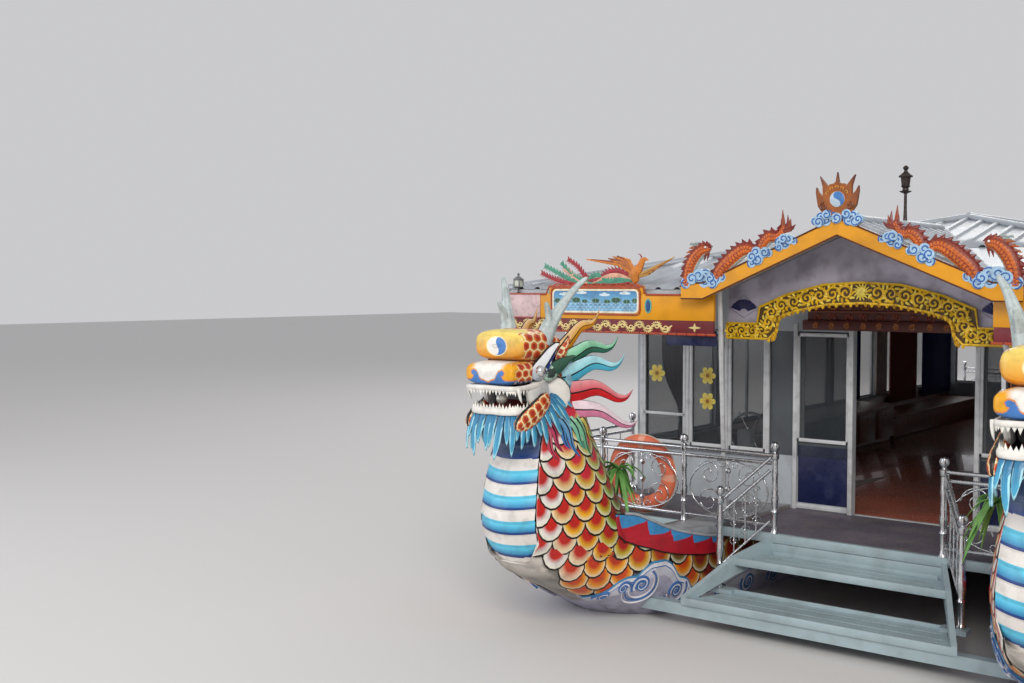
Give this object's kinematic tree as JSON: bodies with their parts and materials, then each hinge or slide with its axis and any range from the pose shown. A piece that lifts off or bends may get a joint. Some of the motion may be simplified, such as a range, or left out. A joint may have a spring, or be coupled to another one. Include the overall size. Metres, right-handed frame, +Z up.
{
  "type": "twin-hull dragon boat",
  "caption": "Twin-hull river boat with dragon-headed bows, a glazed cabin, a gabled porch and boarding steps.",
  "frame": {"origin": "on the boat's centre plane, amidships, at the height of the still waterline", "axes": "-Y towards the dragon-headed bow, +Y aft, +X to port, +Z up"},
  "size_m": [7.2, 15.9961, 4.475],
  "materials": {
    "hull_paint": "weathered lilac-white paint over grey steel",
    "scale_paint": "hand-painted red, orange, yellow and green scales with pale rims",
    "head_paint": "hand-painted yellow to orange gloss",
    "jaw_paint": "white lip, pale teeth and cyan beard",
    "mane_paint": "flames in yellow, green, cyan, red and pink with dark edges",
    "deck_plate": "worn brown-grey deck paint",
    "step_paint": "scuffed pale aqua paint",
    "stainless": "polished stainless tube",
    "buoy_shell": "faded salmon-orange shell",
    "wall_paint": "grey-white frames with navy lower panels",
    "window_glass": "clear, slightly dusty",
    "roof_sheet": "weathered white corrugated sheet",
    "eaves_paint": "yellow-orange gloss with a red-brown edge",
    "grey_board": "dull grey-violet paint",
    "gold_carving": "openwork carving in gold-yellow paint",
    "carving_paint": "carved board in orange-brown with blue-white clouds",
    "dark_iron": "dark painted iron with a glass lamp",
    "bronze": "dull bronze",
    "engine_block": "dark grey paint"
  },
  "bodies": {
    "boat": {"hull_s": "hull_paint", "hull_p": "hull_paint", "dragon_neck_s": "scale_paint", "dragon_neck_p": "scale_paint", "dragon_head_s": "head_paint", "dragon_head_p": "head_paint", "dragon_jaw_s": "jaw_paint", "dragon_jaw_p": "jaw_paint", "dragon_mane_s": "mane_paint", "dragon_mane_p": "mane_paint", "dragon_tail_s": "scale_paint", "dragon_tail_p": "scale_paint", "engine_s": "engine_block", "engine_p": "engine_block", "deck": "deck_plate", "crossbeam_bow": "step_paint", "boarding_steps": "step_paint", "step_handrail_s": "stainless", "step_handrail_p": "stainless", "bow_railing_s": "stainless", "bow_railing_p": "stainless", "side_railing_s": "stainless", "side_railing_p": "stainless", "stern_railing": "stainless", "lifebuoy": "buoy_shell", "wall_front": "wall_paint", "wall_side_s": "wall_paint", "wall_side_p": "wall_paint", "wall_rear": "wall_paint", "glass_front_s": "window_glass", "glass_front_p": "window_glass", "glass_side_s": "window_glass", "glass_side_p": "window_glass", "helm_pedestal": "wall_paint", "roof_front": "roof_sheet", "roof_side_s": "roof_sheet", "roof_side_p": "roof_sheet", "roof_rear": "roof_sheet", "roof_portico": "roof_sheet", "portico_column_s": "stainless", "portico_column_p": "stainless", "gable_board": "eaves_paint", "tympanum": "grey_board", "arch_lintel": "gold_carving", "fascia_front_s": "eaves_paint", "fascia_front_p": "eaves_paint", "ridge_dragon_s": "carving_paint", "ridge_dragon_p": "carving_paint", "phoenix_s": "carving_paint", "phoenix_p": "carving_paint", "pearl_finial": "carving_paint", "light_mast": "dark_iron"},
    "helm": {"steering_wheel": "stainless"},
    "rudder_starboard": {"rudder_s": "hull_paint"},
    "rudder_port": {"rudder_p": "hull_paint"},
    "propeller_starboard": {"propeller_s": "bronze"},
    "propeller_port": {"propeller_p": "bronze"},
    "leaf_starboard": {"door_leaf_s": "wall_paint"},
    "leaf_port": {"door_leaf_p": "wall_paint"},
    "stern_door": {"rear_door": "wall_paint"}
  },
  "joints": [
    {"name": "helm_turn", "type": "hinge", "parent": "boat", "child": "helm", "pos_m": [-1.9, -3.804, 1.35], "axis": [0, -1, 0], "range_deg": [-540, 540]},
    {"name": "rudder_starboard_turn", "type": "hinge", "parent": "boat", "child": "rudder_starboard", "pos_m": [-2.08, 7.16, -0.2], "axis": [0, 0, 1], "range_deg": [-35, 35]},
    {"name": "rudder_port_turn", "type": "hinge", "parent": "boat", "child": "rudder_port", "pos_m": [2.08, 7.16, -0.2], "axis": [0, 0, 1], "range_deg": [-35, 35]},
    {"name": "propeller_starboard_spin", "type": "hinge", "parent": "boat", "child": "propeller_starboard", "pos_m": [-2.08, 6.73, -0.25], "axis": [0, 1, 0], "continuous": true},
    {"name": "propeller_port_spin", "type": "hinge", "parent": "boat", "child": "propeller_port", "pos_m": [2.08, 6.73, -0.25], "axis": [0, 1, 0], "continuous": true},
    {"name": "leaf_starboard_slide", "type": "slide", "parent": "boat", "child": "leaf_starboard", "axis": [1, 0, 0], "range_m": [0, 0.59]},
    {"name": "leaf_port_slide", "type": "slide", "parent": "boat", "child": "leaf_port", "axis": [-1, 0, 0], "range_m": [0, 0.59]},
    {"name": "stern_door_swing", "type": "hinge", "parent": "boat", "child": "stern_door", "pos_m": [-0.444, 5.855, 1.6], "axis": [0, 0, 1], "range_deg": [0, 100]}
  ],
  "couplings": [
    {"joint": "rudder_starboard_turn", "follows": "helm_turn", "ratio": 0.0648},
    {"joint": "rudder_port_turn", "follows": "helm_turn", "ratio": 0.0648}
  ]
}
